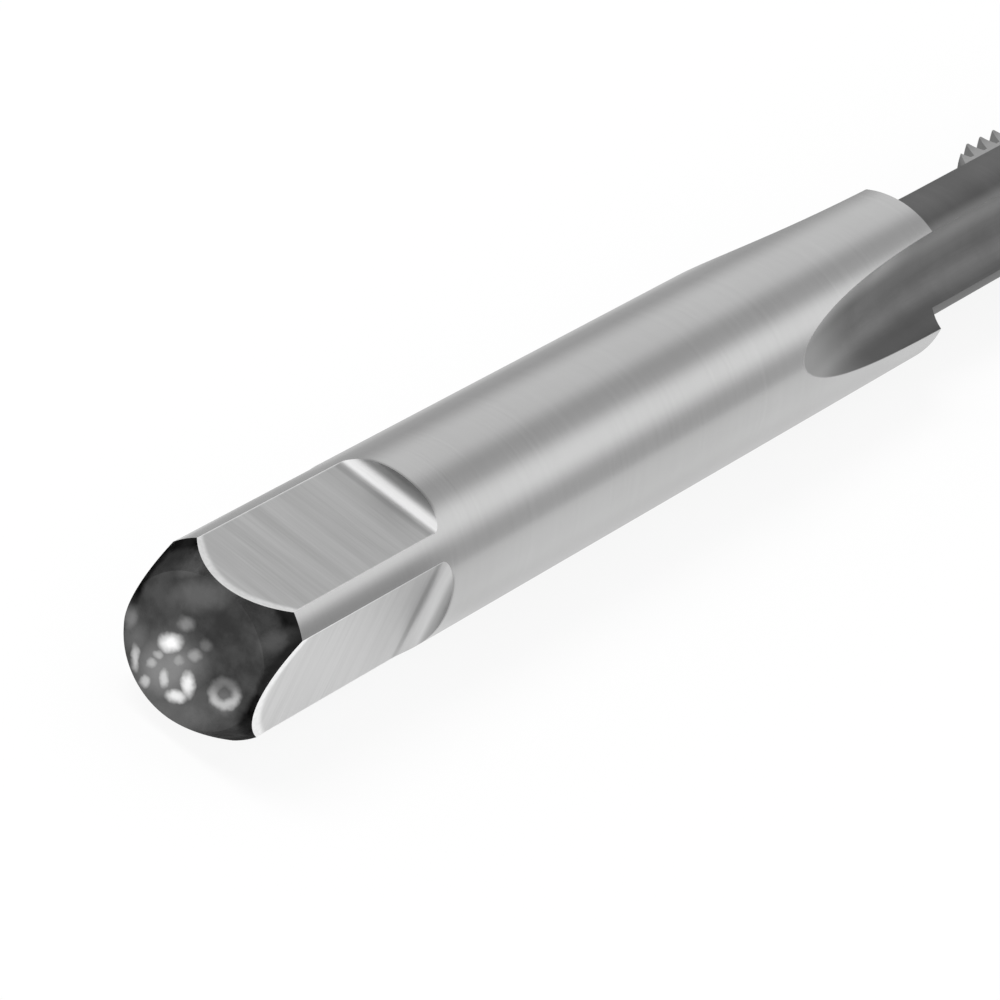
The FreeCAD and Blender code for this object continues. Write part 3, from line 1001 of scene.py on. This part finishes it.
tree, shader, place = steel("raw_end")
wander = tree.vector("SUBTRACT", tree.noise(place, 4.0, output="Color"), (0.5, 0.5, 0.5))
ragged = tree.vector("ADD", place, tree.vector("MULTIPLY", wander, (0.0, 0.16, 0.16)))
ragged = tree.vector("MULTIPLY", ragged, (0.0, 1.0, 1.0))
bright = 0.0
for across, up, half_width, half_height, level in KNOCKS:
    offset = leaning(tree, tree.vector("SUBTRACT", ragged, (0.0, across, up)))
    share = tree.vector("LENGTH", tree.vector("MULTIPLY", offset, (0.0, 1 / half_width, 1 / half_height)))
    bright = tree.math("MAXIMUM", bright, tree.remap(share, 0.2, 1.5, level, 0.0))
from_ring = leaning(tree, tree.vector("SUBTRACT", ragged, (0.0, RING[0], RING[1])))
off_ring = tree.math("ABSOLUTE", tree.math("SUBTRACT", tree.vector("LENGTH", from_ring), RING_RADIUS))
below_middle = tree.vector("DOT_PRODUCT", from_ring, (0.0, 0.0, -1.0))
ring_level = tree.remap(below_middle, -0.3, 0.3, 0.15, 0.50)
ring = tree.math("MULTIPLY", tree.remap(off_ring, 0.02, RING_HALF_WIDTH, 1.0, 0.0), ring_level)
bright = tree.math("MAXIMUM", bright, ring)
print("nodes for the marks:", len(tree.tree.nodes))

# %% [markdown]
# The skin under the marks is a dark grain. It is blackest on the outer edge of the crown and beside the
# flats, and less black in patches.

# %% Skin of the raw end
CROWN_BLACK = (END_RADIUS + 0.28, END_RADIUS + 0.41)
BESIDE_FLAT_BLACK = (SQUARE_HALF - 0.27, SQUARE_HALF - 0.10)

skin = tree.group(group_blotches, Vector=place, Size=0.9)["Blotch"]
grain = tree.noise(place, 9.0, 4.0, 0.6)
crown = tree.remap(tree.vector("LENGTH", ragged), *CROWN_BLACK)
beside_flat = tree.remap(tree.math("ABSOLUTE", tree.parts(ragged)["Y"]), *BESIDE_FLAT_BLACK)
patchy = tree.remap(tree.noise(place, 1.3, 3.0), 0.35, 0.6, 1.0, 0.6)
black = tree.math("MULTIPLY", tree.math("MAXIMUM", crown, beside_flat), patchy)
tone = tree.mix(skin, grey(0.045), grey(0.095))
tone = tree.stain(tone, grain, 0.3, grey(0.04))
tone = tree.mix(black, tone, grey(0.003))
tone = tree.mix(bright, tone, grey(1.0))
height = tree.math("SUBTRACT", grain, tree.math("MULTIPLY", bright, 0.8))
shader.inputs["Specular Tint"].default_value = grey(0.4)
finish_with(tree, shader, tone, tree.math("MULTIPLY_ADD", bright, -0.1, 0.46), height, depth=0.02)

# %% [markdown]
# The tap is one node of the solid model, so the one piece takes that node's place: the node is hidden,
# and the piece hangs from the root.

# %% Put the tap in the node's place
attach(tap, "root")
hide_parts("machine_tap")
tap.data.update()
print("triangles:", sum(len(face.vertices) - 2 for face in tap.data.polygons))

# %% [markdown]
# The camera stands where the photographer's did: low over the drive end, looking along the tap, turned a
# little on its side so that the tap climbs to the right. The long lens hardly narrows the far end. Its
# place and its two axes are written down as numbers, because a Track To constraint would lose the turn.

# %% Camera
CAMERA_PLACE = Vector((-113.857, -46.453, 83.389))
CAMERA_RIGHT = Vector((0.52436, -0.76392, 0.37613))
CAMERA_UP = Vector((0.29257, 0.57647, 0.76295))
FOCAL_PIXELS = 6363.6
FRAME_PIXELS = 1000

camera = bpy.data.objects.new("camera", bpy.data.cameras.new("camera"))
bpy.context.scene.collection.objects.link(camera)
bpy.context.scene.camera = camera
camera.data.lens = FOCAL_PIXELS / FRAME_PIXELS * camera.data.sensor_width
camera.data.clip_start = 0.001
camera_back = CAMERA_RIGHT.cross(CAMERA_UP)
pose = Matrix((CAMERA_RIGHT, CAMERA_UP, camera_back)).transposed().to_4x4()
camera.matrix_world = Matrix.Translation(CAMERA_PLACE * MM) @ pose
print("lens:", round(camera.data.lens, 1), "mm")

# %% [markdown]
# The floor is white paper. To the camera it is mostly plain white, with the tap's shadow left in. The steel
# sees it shaded: a grey card lies on the paper behind the tap and darkens the top edge of the shank, and
# the paper in front of the drive end is bright.

# %% Floor
FLOOR_HALF = 0.6
FLOOR_CORNERS = ((-FLOOR_HALF, -FLOOR_HALF), (FLOOR_HALF, -FLOOR_HALF),
                 (FLOOR_HALF, FLOOR_HALF), (-FLOOR_HALF, FLOOR_HALF))
floor_points = [(x, y, -SHANK_RADIUS * MM) for x, y in FLOOR_CORNERS]
floor = new_mesh_object("floor", floor_points, [(0, 1, 2, 3)])
paper = bpy.data.materials.new("paper")
floor.data.materials.append(paper)
paper.use_nodes = True
shader = paper.node_tree.nodes["Principled BSDF"]
shader.inputs["Base Color"].default_value = grey(0.85)
shader.inputs["Roughness"].default_value = 0.9
shader.inputs["Specular IOR Level"].default_value = 0.0
print("floor at", -SHANK_RADIUS, "mm")

# %% A ramp of greys


def brightness_ramp(tree, share, levels):
    """A grey ramp from (position, brightness) pairs, with soft steps between them."""
    low, high = levels[0][0], levels[-1][0]
    ramp = tree.node("ShaderNodeValToRGB")
    ramp.color_ramp.interpolation = "EASE"
    points = ramp.color_ramp.elements
    for number, (position, level) in enumerate(levels):
        spot = (position - low) / (high - low)
        point = points[number] if number < 2 else points.new(spot)
        point.position = spot
        point.color = grey(level)
    tree.feed(ramp.inputs[0], share)
    return ramp.outputs["Color"]


# %% Paper as the camera and the steel see it
FLOOR_LEVELS = [
    # millimetres from the tap's axis towards +Y, and how bright the steel sees the floor there
    (-30.0, 0.61),
    (-9.0, 0.66),
    (-4.4, 0.70),
    (-2.5, 0.78),
    (0.0, 0.60),
    (2.0, 0.50),
    (5.0, 0.54),
    (13.0, 0.19),
    (60.0, 0.16),
]
# the paper in front gets brighter between these places along the tap
FRONT_FADE = (12.5 * MM, 6.0 * MM)
FRONT_LEVEL = 1.15
WHITE_SHARE = 0.88
REFLECTED_SHARE = 0.7

tree = Tree(paper.node_tree)
spot = tree.parts(tree.node("ShaderNodeTexCoord").outputs["Object"])
low, high = FLOOR_LEVELS[0][0], FLOOR_LEVELS[-1][0]
share = tree.math("MULTIPLY_ADD", spot["Y"], 1 / ((high - low) * MM), -low / (high - low))
in_front = tree.remap(spot["X"], *FRONT_FADE)
as_metal_sees = tree.mix(in_front, brightness_ramp(tree, share, FLOOR_LEVELS), grey(FRONT_LEVEL))
ray = tree.node("ShaderNodeLightPath").outputs
glow = tree.node("ShaderNodeEmission")
glow.inputs["Strength"].default_value = 1.0
tree.feed(glow.inputs["Color"], tree.mix(ray["Is Camera Ray"], as_metal_sees, grey(1.0)))
seen = tree.math("MULTIPLY", ray["Is Camera Ray"], WHITE_SHARE)
mirrored = tree.math("MAXIMUM", ray["Is Glossy Ray"], ray["Is Transmission Ray"])
both = tree.node("ShaderNodeMixShader")
tree.feed(both.inputs[0], tree.math("MAXIMUM", seen, tree.math("MULTIPLY", mirrored, REFLECTED_SHARE)))
tree.feed(both.inputs[1], shader.outputs[0])
tree.feed(both.inputs[2], glow.outputs[0])
tree.feed(paper.node_tree.nodes["Material Output"].inputs["Surface"], both.outputs[0])
print("steps of grey on the floor:", len(FLOOR_LEVELS))

# %% [markdown]
# A polished cylinder is a mirror for whatever stands beside it, so a tool is photographed between long
# cards. Real cards would be more objects, to be lit and kept out of the picture. Here white and grey cards
# that run along the tap are drawn in the sky, by the angle about X: each one is a band on the shank. A
# narrow white card over the near end lights the hollow at the end of the upper flat, and the room behind
# the camera is dark.

# %% Sky of long cards
CARDS = [
    # angle about the tap's axis from straight up, towards +Y, in degrees, and brightness
    (-180, 0.80),
    (-98, 0.66),
    (-82, 0.48),
    (-72, 0.48),
    (-44, 0.97),
    (-34, 0.95),
    (-8, 0.46),
    (4, 0.43),
    (30, 0.73),
    (58, 0.75),
    (92, 0.44),
    (180, 0.44),
]
# the narrow card's two soft edges in the same degrees, then its end as X of the direction
NARROW_CARD_EDGES = ((6.0, 14.0), (34.0, 26.0))
NARROW_CARD_END = (0.62, 0.35)
NARROW_CARD_LEVEL = 2.2
# the soft edge of the dark room, as X of the direction
ROOM_EDGE = (-0.55, -0.85)
ROOM_LEVEL = 0.40
AMBIENT_LEVEL = 0.85

world = bpy.data.worlds.new("studio")
bpy.context.scene.world = world
world.use_nodes = True
tree = Tree(world.node_tree)
way = tree.parts(tree.node("ShaderNodeTexCoord").outputs["Generated"])
about = tree.math("ARCTAN2", way["Y"], way["Z"])
cards = brightness_ramp(tree, tree.math("MULTIPLY_ADD", about, 1 / (2 * math.pi), 0.5), CARDS)
degrees = tree.math("MULTIPLY", about, 180 / math.pi)
first_edge, last_edge = [tree.remap(degrees, *edge) for edge in NARROW_CARD_EDGES]
strip = tree.math("MULTIPLY", first_edge, last_edge)
over_end = tree.math("MULTIPLY", tree.remap(way["X"], *NARROW_CARD_END), strip)
room = tree.remap(way["X"], *ROOM_EDGE)
sky = tree.mix(over_end, cards, grey(NARROW_CARD_LEVEL))
sky = tree.mix(room, sky, grey(ROOM_LEVEL))
ray = tree.node("ShaderNodeLightPath").outputs
seen_by_objects = tree.mix(ray["Is Glossy Ray"], grey(AMBIENT_LEVEL), sky)
background = world.node_tree.nodes["Background"]
background.inputs["Strength"].default_value = 1.0
tree.feed(background.inputs["Color"], tree.mix(ray["Is Camera Ray"], seen_by_objects, grey(1.0)))
print("cards:", len(CARDS))

# %% [markdown]
# One soft lamp, high over the tap, gives it its shadow on the paper. It hides from reflections, where its
# round face would look like a spot on the shank.

# %% Lamp
LAMP_PLACE = Vector((-0.10, 0.20, 0.45))
LAMP_AIM = Vector((0.02, 0.0, 0.0))

lamp = bpy.data.objects.new("soft_lamp", bpy.data.lights.new("soft_lamp", "AREA"))
bpy.context.scene.collection.objects.link(lamp)
lamp.data.shape = "DISK"
lamp.data.size = 0.25
lamp.data.energy = 1.2
lamp.visible_glossy = False
lamp.location = LAMP_PLACE
lamp.rotation_euler = (LAMP_AIM - LAMP_PLACE).to_track_quat("-Z", "Y").to_euler()
bpy.context.scene.view_settings.view_transform = "Standard"
print("lamp:", round(lamp.data.energy, 1), "W")
